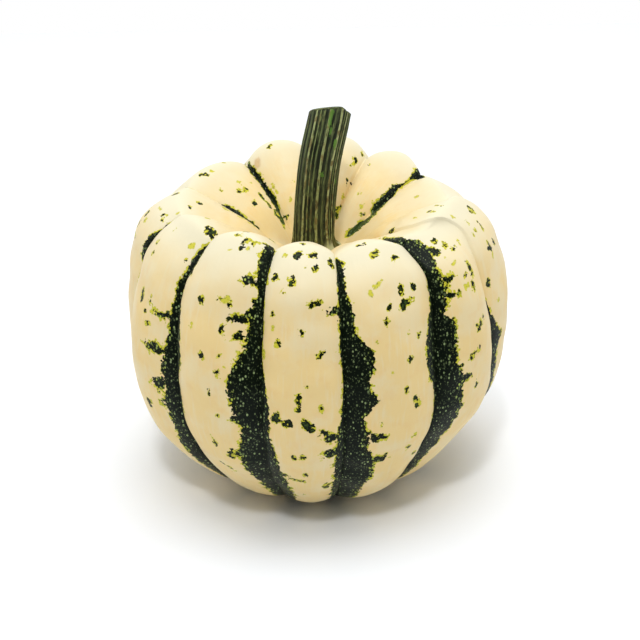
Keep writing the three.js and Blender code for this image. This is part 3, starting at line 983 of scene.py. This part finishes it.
def skin_material(settings, groups):
    """Waxy cream skin with its green stripes, flecks and lime fringes."""
    made, kit, shader = new_material("squash_skin")
    place = kit.millimetres()
    streaks = kit.noise(kit.attribute("grain", "Vector"), 1.1, detail=3.0)
    furrow = kit.attribute("furrow")

    def ragged(name, swing, size):
        inputs = {"Place": place, "Field": kit.attribute(name), "Swing": swing, "Bead size": size}
        return use_group(kit, groups["Ragged edge"], inputs)["Field"]

    stripe = ragged("stripe", kit.step(furrow, 0.3, 3.0, 0.25, 1.0), 0.75)
    whole_fleck = kit.add(ragged("fleck", 0.75, 0.7), 0.08)
    worn = kit.step(kit.noise(place, 1.2), 0.48, 0.68, 0.0, 0.8)
    fleck = kit.math("SUBTRACT", whole_fleck, worn)
    dark_field = kit.most(stripe, fleck)
    dark = kit.step(dark_field, -0.05, 0.06)

    patches = kit.noise(place, 2.6, detail=2.0)
    fringe_width = kit.step(patches, 0.38, 0.6, -0.1, 0.58)
    outer = kit.most(kit.add(stripe, fringe_width), kit.add(whole_fleck, kit.times(fringe_width, 0.5)))
    fringe = kit.step(outer, -0.08, 0.08)
    spot = kit.step(ragged("lime", 0.7, 0.7), -0.15, 0.2)
    lime = kit.most(fringe, kit.times(spot, 0.95))

    shades = settings.flesh, settings.pale, settings.blush
    base = mottled(kit, groups["Mottle"], place, 9.0, 0.35, *shades)
    # Paler tops of the lobes: partly the skin's own paler cream, partly a painted sheen of the overhead
    # light.
    base = kit.blend(kit.attribute("rim"), base, settings.pale)
    base = kit.blend(kit.step(streaks, 0.5, 0.75, 0.0, 0.25), base, settings.pale)
    leafy = kit.step(kit.noise(place, 0.5), 0.5, 0.7, 0.0, 0.6)
    lime_shade = kit.blend(leafy, settings.lime, settings.leaf)
    skin = kit.blend(lime, base, lime_shade)

    net = kit.scaled(place, (1, 1, 0.7))
    pick, tone, distance = kit.cells(net, 0.7)
    edge = kit.times(kit.step(dark_field, 2.6, 0.2), kit.step(furrow, 0.5, 2.8))
    size = kit.add(kit.step(pick, 0.0, 1.0, 0.06, 0.36), kit.times(edge, 0.1))
    dots = kit.step(kit.math("SUBTRACT", distance, size), 0.1, -0.1)
    finer_pick, _, finer_distance = kit.cells(net, 0.42)
    grit = kit.times(kit.step(finer_distance, 0.45, 0.2), kit.step(finer_pick, 0.4, 0.8))
    bright = kit.times(edge, kit.step(tone, 0.1, 0.8))
    dot_shade = kit.blend(bright, settings.dot, settings.bright_dot)
    core = kit.times(kit.step(fleck, 0.25, 0.7), kit.step(kit.noise(place, 0.8), 0.42, 0.62, 0.0, 0.9))
    core = kit.most(core, kit.times(kit.attribute("seat"), 0.8))
    green = kit.blend(core, settings.green, settings.leaf)
    shown = kit.most(kit.times(dots, kit.step(tone, 0.0, 0.9, 0.2, 1.0)), kit.times(grit, 0.22))
    shown = kit.times(shown, kit.step(stripe, -0.1, 0.3))
    green = kit.blend(shown, green, dot_shade)
    skin = kit.blend(dark, skin, green)

    scar = kit.attribute("scar")
    cork = kit.blend(kit.noise(place, 0.9, detail=4.0), settings.cork, settings.blush)
    skin = kit.blend(scar, skin, cork)
    kit.feed(shader.inputs["Base Color"], skin)

    smears = kit.noise(place, 6.0, detail=3.0)
    rough = kit.add(kit.step(smears, 0.3, 0.7, 0.36, 0.46), kit.times(scar, 0.4))
    kit.feed(shader.inputs["Roughness"], rough)
    kit.feed(shader.inputs["Specular IOR Level"], 0.1)
    inputs = {"Place": place, "Pore size": 0.6, "Wave size": 3.5}
    grain = use_group(kit, groups["Grain"], inputs)["Height"]
    crust = kit.times(scar, kit.times(pick, 0.3))
    height = kit.add(grain, kit.times(streaks, 0.05), kit.times(dark, -0.02), crust)
    relief = kit.node("ShaderNodeBump", {"Height": height, "Distance": MM, "Strength": 0.6})
    kit.feed(shader.inputs["Normal"], relief.outputs["Normal"])
    return made


def bark_material(settings, groups):
    """Dry fibrous stem: near-black grooves, thin pale lines along the ridges and rubbed green places."""
    made, kit, shader = new_material("dried_stem")
    place = kit.millimetres()
    fibre_place = kit.attribute("grain", "Vector")
    crest, tone, foot = kit.attribute("crest"), kit.attribute("tone"), kit.attribute("foot")
    fibres = kit.noise(fibre_place, 0.3, detail=3.0, roughness=0.6)
    strands = kit.noise(fibre_place, 0.75, detail=2.0)
    breaks = kit.noise(place, 2.2, detail=3.0)
    ground = kit.blend(kit.step(strands, 0.42, 0.6), settings.bark, settings.moss)
    pale = kit.blend(kit.step(tone, 0.55, 0.95), settings.olive, settings.straw)
    brown = kit.add(breaks, kit.times(tone, 0.1), kit.times(foot, 0.16))
    line_shade = kit.blend(kit.step(brown, 0.56, 0.7), pale, settings.umber)
    loose = kit.add(crest, kit.times(kit.add(fibres, -0.5), 0.8), kit.times(kit.add(breaks, -0.5), 0.5))
    line = kit.times(kit.step(loose, 0.42, 0.72), kit.step(tone, 0.0, 0.8, 0.35, 1.0))
    shade = kit.blend(line, ground, line_shade)
    hair = kit.times(kit.step(fibres, 0.55, 0.65), kit.step(breaks, 0.4, 0.6, 0.2, 0.8))
    shade = kit.blend(kit.times(hair, 0.8), shade, settings.olive)
    slits = kit.step(kit.noise(fibre_place, 0.17, detail=1.0), 0.52, 0.62)
    shade = kit.blend(kit.times(slits, 0.7), shade, settings.bark)
    shade = kit.blend(kit.times(foot, 0.45), shade, settings.amber)
    patchy = kit.times(kit.add(kit.noise(place, 0.9), -0.5), 2.2)
    rub = kit.step(kit.add(kit.attribute("rub"), patchy), -0.15, 0.35)
    shade = kit.blend(kit.times(rub, 0.85), shade, settings.fresh)
    shade = kit.blend(kit.times(kit.attribute("toe"), 0.85), shade, settings.tip)
    cut = kit.attribute("cut")
    shades = settings.moss, settings.olive, settings.umber
    shade = kit.blend(cut, shade, mottled(kit, groups["Mottle"], place, 1.4, 0.9, *shades))
    kit.feed(shader.inputs["Base Color"], shade)
    kit.feed(shader.inputs["Roughness"], kit.step(fibres, 0.3, 0.7, 0.5, 0.75))
    kit.feed(shader.inputs["Specular IOR Level"], 0.2)
    inputs = {"Place": fibre_place, "Pore size": 0.25, "Wave size": 0.9}
    grain = use_group(kit, groups["Grain"], inputs)["Height"]
    crumbs = kit.times(cut, kit.times(kit.noise(place, 0.8, detail=4.0), 0.8))
    relief = kit.node("ShaderNodeBump", {"Height": kit.add(grain, crumbs), "Distance": MM, "Strength": 1.0})
    kit.feed(shader.inputs["Normal"], relief.outputs["Normal"])
    return made


def floor_material():
    """Plain white table top."""
    made, kit, shader = new_material("white_table")
    kit.feed(shader.inputs["Base Color"], (0.93, 0.96, 1.0, 1))
    kit.feed(shader.inputs["Roughness"], 0.9)
    kit.feed(shader.inputs["Specular IOR Level"], 0.0)
    return made


# ---------- Pieces ----------


def make_fruit(settings, groups):
    grid = FruitGrid(settings)
    low = [0, 0, float(grid.points[0, :, 2].mean())]
    high = [0, 0, CREST[-1][1]]
    lid = [grid.points[-1] * [share, share, 1] for share in SEAT_RINGS]
    points = np.concatenate([grid.points, lid])
    piece = closed_mesh("squash_fruit", points, low, high)

    def padded(values):
        return np.concatenate([values] + [values[-1:]] * len(SEAT_RINGS))

    furrow = np.minimum(grid.from_start, grid.to_end)
    radius = np.hypot(grid.points[..., 0], grid.points[..., 1])
    under = (1 - smooth(radius, *CORK_EDGE)) * (grid.stations[:, None] < 1)
    rust = RUST_STRENGTH * smooth(spot_field(grid, RUST_SPOTS), *RUST_EDGE)
    # The paler tops as a share by station: partly the skin's own colour, partly a painted sheen.
    rim = plateau(grid.stations, *PALE_TOPS_AND_SHEEN)
    write_values(piece, "stripe", padded(stripe_field(grid)), OUTSIDE, OUTSIDE)
    placed = spot_field(grid, FLECKS)
    strays = spot_field(grid, stray_spots(settings.stray_flecks, settings.seed + 3))
    write_values(piece, "fleck", padded(np.maximum(placed, strays)), OUTSIDE, OUTSIDE)
    limes = spot_field(grid, LIME_SPOTS)
    stray_limes = spot_field(grid, stray_spots(settings.stray_flecks // 2, settings.seed + 4))
    write_values(piece, "lime", padded(np.maximum(limes, stray_limes)), OUTSIDE, OUTSIDE)
    write_values(piece, "furrow", padded(furrow))
    write_values(piece, "scar", padded(np.maximum(under, rust)), 1, 0)
    write_values(piece, "rim", padded(np.broadcast_to(rim[:, None], furrow.shape)))
    seat = smooth(grid.stations, *LEAFY_SEAT)
    write_values(piece, "seat", padded(np.broadcast_to(seat[:, None], furrow.shape)))
    azimuth = np.arctan2(points[..., 0], -points[..., 1])
    run = padded(np.broadcast_to(grid.along[:, None], grid.points.shape[:2]))
    round_it = [STREAK_RADIUS * np.sin(azimuth), STREAK_RADIUS * np.cos(azimuth)]
    write_vectors(piece, "grain", np.stack([*round_it, STREAK_STRETCH * run], -1))
    piece.data.materials.append(skin_material(settings, groups))
    return piece


def ridge_profile(settings, azimuth):
    """Height from 0 to 1 of the uneven ridges round the stem, their narrow crests and a tone for each."""
    random = np.random.default_rng(settings.seed)
    widths = random.uniform(*RIDGE_WIDTHS, settings.ridges)
    edges = np.append(0, np.cumsum(widths)) * 2 * np.pi / widths.sum()
    heights = random.uniform(*RIDGE_HEIGHTS, settings.ridges)
    tones = random.uniform(0, 1, settings.ridges)
    turn = np.mod(azimuth, 2 * np.pi)
    index = np.clip(np.searchsorted(edges, turn, side="right") - 1, 0, settings.ridges - 1)
    share = (turn - edges[index]) / (edges[index + 1] - edges[index])
    swell = np.sin(np.pi * share)
    return heights[index] * swell**0.7, swell**3, tones[index]


def make_stem(settings, groups):
    rings, columns = settings.rings, settings.columns
    share = np.linspace(0, 1, rings)
    stations = share * (len(STEM) - 1)
    centre, along = spline([row[:3] for row in STEM], stations, run_on=True)
    shape = spline([row[3:] for row in STEM], stations)[0]
    along = unit(along)
    along[0] = (0, 0, 1)
    right = unit(np.cross([0, 1, 0], along))
    back = np.cross(along, right)
    turn = np.radians(360 * np.arange(columns) / columns)[None, :]
    round_it = [WAVER_RADIUS * np.sin(turn), WAVER_RADIUS * np.cos(turn)]
    drum = np.stack(np.broadcast_arrays(*round_it, WAVER_RUN * share[:, None]), -1)
    waver = FIBRE_WAVER * ripple(drum, WAVER_SIZE, settings.seed)
    twist = FIBRE_TWIST * share[:, None] + waver
    ridge, crest, tone = ridge_profile(settings, turn + twist)
    toe_turn = turn - radians(STEM_TOE_AZIMUTH)
    toe = shape[:, 1:2] * np.cos(STEM_TOES * toe_turn)
    # Near the cut the ridges are worn down to 0.45 of their height.
    fade = 0.45 + 0.55 * (1 - smooth(share, 0.93, 1.0))[:, None]
    radius = shape[:, :1] + toe + settings.ridge_height / MM * (ridge - RIDGE_MIDDLE) * fade
    worn = STEM_WORN_CORNER * smooth(np.sin(turn), 0.45, 1)
    lengthened = (STEM_CUT_SLOPE * radius * np.sin(turn) - worn) * share[:, None] ** 6
    points = (
        centre[:, None]
        + along[:, None] * lengthened[..., None]
        + right[:, None] * (radius * np.sin(turn))[..., None]
        - back[:, None] * (radius * np.cos(turn))[..., None]
    )
    tip = centre[-1]
    caps = [tip + (points[-1] - tip) * inward + along[-1] * rise for inward, rise in CUT_RINGS]
    grid = np.concatenate([points, caps])
    cut_middle = (tip + CUT_MIDDLE_RISE * along[-1]).tolist()
    piece = closed_mesh("squash_stem", grid, [0, 0, STEM[0][2]], cut_middle)

    def padded(values, fill=None):
        values = np.broadcast_to(values, points.shape[:2])
        extra = values[-1:] if fill is None else np.full_like(values[-1:], fill)
        return np.concatenate([values] + [extra] * len(caps))

    rub = np.full(points.shape[:2], OUTSIDE)
    length = np.linalg.norm(np.diff(centre, axis=0), axis=1).sum()
    for azimuth, middle, long, wide in STEM_RUBS:
        aside = np.mod(turn - radians(azimuth) + np.pi, 2 * np.pi) - np.pi
        level = (share[:, None] - middle) * length
        reach = np.hypot(aside * shape[:, :1] / (wide / 2), level / (long / 2))
        rub = np.maximum(rub, 1 - reach)
    write_values(piece, "crest", padded(crest))
    write_values(piece, "tone", padded(tone))
    write_values(piece, "rub", padded(rub), OUTSIDE, OUTSIDE)
    write_values(piece, "foot", padded(1 - smooth(share, 0.1, 0.45)[:, None]))
    climb = TOE_LENGTH + LONG_TOE_EXTRA * smooth(np.cos(toe_turn), 0.3, 0.9)
    toes = (1 - smooth(share[:, None] / climb, 0.6, 1.2)) * smooth(np.cos(STEM_TOES * toe_turn), -0.2, 0.6)
    write_values(piece, "toe", padded(toes))
    write_values(piece, "cut", padded(np.zeros((rings, 1)), 1.0), 0, 1)
    run = share[:, None] * FIBRE_RUN
    around = [FIBRE_RADIUS * np.sin(turn + twist), FIBRE_RADIUS * np.cos(turn + twist)]
    place = np.stack(np.broadcast_arrays(*around, FIBRE_STRETCH * run), -1)
    write_vectors(piece, "grain", np.concatenate([place] + [place[-1:]] * len(caps)))
    piece.data.materials.append(bark_material(settings, groups))
    return piece


# ---------- Stage ----------


def aim(thing, target, roll=0.0):
    """Turns a camera or lamp to face a point."""
    way = (Vector(target) - thing.location).to_track_quat("-Z", "Y").to_matrix()
    thing.rotation_euler = (way @ Matrix.Rotation(roll, 3, "Z")).to_euler()


def softbox(name, place, width, power):
    """A square lamp that faces the spot where the fruit rests."""
    lamp = bpy.data.lights.new(name, "AREA")
    lamp.shape, lamp.size, lamp.size_y = "RECTANGLE", width, width
    lamp.energy = power
    made = bpy.data.objects.new(name, lamp)
    bpy.context.scene.collection.objects.link(made)
    made.location = place
    aim(made, (0, 0, 0))


def make_world(sky, gloom):
    """White to the camera and a soft light all round; reflections find the room in front dark.

    The sky is given as four strengths: below, in front, at the sides and overhead."""
    world = bpy.data.worlds.new("studio")
    world.use_nodes = True
    world.node_tree.nodes.clear()
    kit = Tree(world.node_tree)
    path = kit.node("ShaderNodeLightPath").outputs
    way = kit.node("ShaderNodeSeparateXYZ", {"Vector": kit.node("ShaderNodeTexCoord").outputs["Generated"]})
    ground, front, sides, zenith = sky
    horizon = kit.step(way.outputs["Y"], -0.7, 0.1, front, sides)
    above = kit.step(way.outputs["Z"], 0.4, 1.0, horizon, zenith)
    below = kit.step(way.outputs["Z"], -0.15, 0.0, ground, horizon)
    diffuse = kit.math("SUBTRACT", kit.add(above, below), horizon)
    mirrored = kit.step(way.outputs["Y"], -0.75, 0.1, gloom, 1.0)
    glossy = path["Is Glossy Ray"]
    seen = kit.most(path["Is Camera Ray"], path["Is Transmission Ray"])
    other = kit.math("SUBTRACT", kit.math("SUBTRACT", 1.0, seen), glossy)
    strength = kit.add(seen, kit.times(glossy, mirrored), kit.times(other, diffuse))
    shader = kit.node("ShaderNodeBackground", {"Color": (1, 1, 1, 1), "Strength": strength})
    output = kit.node("ShaderNodeOutputWorld")
    kit.feed(output.inputs["Surface"], shader.outputs[0])
    bpy.context.scene.world = world


def make_floor(front):
    reach = FLOOR_REACH
    mesh = bpy.data.meshes.new("floor")
    corners = [(-reach, -front, 0), (reach, -front, 0), (reach, reach, 0), (-reach, reach, 0)]
    mesh.from_pydata(corners, [], [(0, 1, 2, 3)])
    mesh.materials.append(floor_material())
    floor = bpy.data.objects.new("floor", mesh)
    floor.location.z = -FLOOR_DROP
    bpy.context.scene.collection.objects.link(floor)
    return floor


def make_camera(settings):
    data = bpy.data.cameras.new("camera")
    data.lens, data.sensor_width = settings.lens, SENSOR_WIDTH
    data.clip_start = NEAREST_SEEN
    camera = bpy.data.objects.new("camera", data)
    bpy.context.scene.collection.objects.link(camera)
    middle = (CAD_BOX[0][2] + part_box("fruit")[1][2]) / 2 - CAMERA_LOWERED
    away = np.cos(settings.elevation) * settings.distance
    camera.location = (0, -away, middle + np.sin(settings.elevation) * settings.distance)
    aim(camera, (AIM_ASIDE, 0, middle + AIM_RAISED), settings.roll)
    bpy.context.scene.camera = camera


# ---------- Operators ----------


class SQUASH_OT_stage(bpy.types.Operator):
    """Make the floor, the soft light and the camera"""

    bl_idname = "squash.stage"
    bl_label = "Stage"

    def execute(self, context):
        settings = context.scene.squash_stage
        make_camera(settings)
        sky = (settings.ground, settings.front, settings.sides, settings.zenith)
        make_world(sky, settings.gloom)
        make_floor(settings.table_front)
        softbox("overhead", OVERHEAD_PLACE, OVERHEAD_WIDTH, settings.key_power)
        softbox("in_front", IN_FRONT_PLACE, IN_FRONT_WIDTH, settings.front_power)
        context.scene.view_settings.view_transform = "Standard"
        return {"FINISHED"}


def settle(piece, node):
    """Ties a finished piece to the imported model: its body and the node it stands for."""
    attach(piece, "root")
    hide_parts(node)


def shared_groups():
    """The node groups that several materials use, made once."""
    makers = {"Mottle": mottle_group, "Grain": grain_group, "Ragged edge": ragged_group}
    return {name: bpy.data.node_groups.get(name) or make() for name, make in makers.items()}


class SQUASH_OT_fruit(bpy.types.Operator):
    """Build the ribbed fruit and its striped skin"""

    bl_idname = "squash.fruit"
    bl_label = "Fruit"

    def execute(self, context):
        settle(make_fruit(context.scene.squash_skin, shared_groups()), "fruit")
        return {"FINISHED"}


class SQUASH_OT_stem(bpy.types.Operator):
    """Build the woody stem with its fibres, foot and cut end"""

    bl_idname = "squash.stem"
    bl_label = "Stem"

    def execute(self, context):
        settle(make_stem(context.scene.squash_stem, shared_groups()), "stem")
        return {"FINISHED"}


class SQUASH_PT_panel(bpy.types.Panel):
    """The steps of the build and their settings"""

    bl_label = "Sweet Dumpling Squash"
    bl_idname = "SQUASH_PT_panel"
    bl_space_type = "VIEW_3D"
    bl_region_type = "UI"
    bl_category = "Squash"

    def draw(self, context):
        for operator, settings in (
            ("squash.stage", context.scene.squash_stage),
            ("squash.fruit", context.scene.squash_skin),
            ("squash.stem", context.scene.squash_stem),
        ):
            box = self.layout.box()
            box.operator(operator)
            for name in settings.__annotations__:
                box.prop(settings, name)


CLASSES = (
    SkinSettings,
    StemSettings,
    StageSettings,
    SQUASH_OT_stage,
    SQUASH_OT_fruit,
    SQUASH_OT_stem,
    SQUASH_PT_panel,
)


def register():
    for cls in CLASSES:
        bpy.utils.register_class(cls)
    bpy.types.Scene.squash_skin = PointerProperty(type=SkinSettings)
    bpy.types.Scene.squash_stem = PointerProperty(type=StemSettings)
    bpy.types.Scene.squash_stage = PointerProperty(type=StageSettings)


def unregister():
    del bpy.types.Scene.squash_stage
    del bpy.types.Scene.squash_stem
    del bpy.types.Scene.squash_skin
    for cls in reversed(CLASSES):
        bpy.utils.unregister_class(cls)


def main():
    register()
    bpy.ops.squash.stage()
    bpy.ops.squash.fruit()
    bpy.ops.squash.stem()
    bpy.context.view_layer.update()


if __name__ == "__main__":
    main()
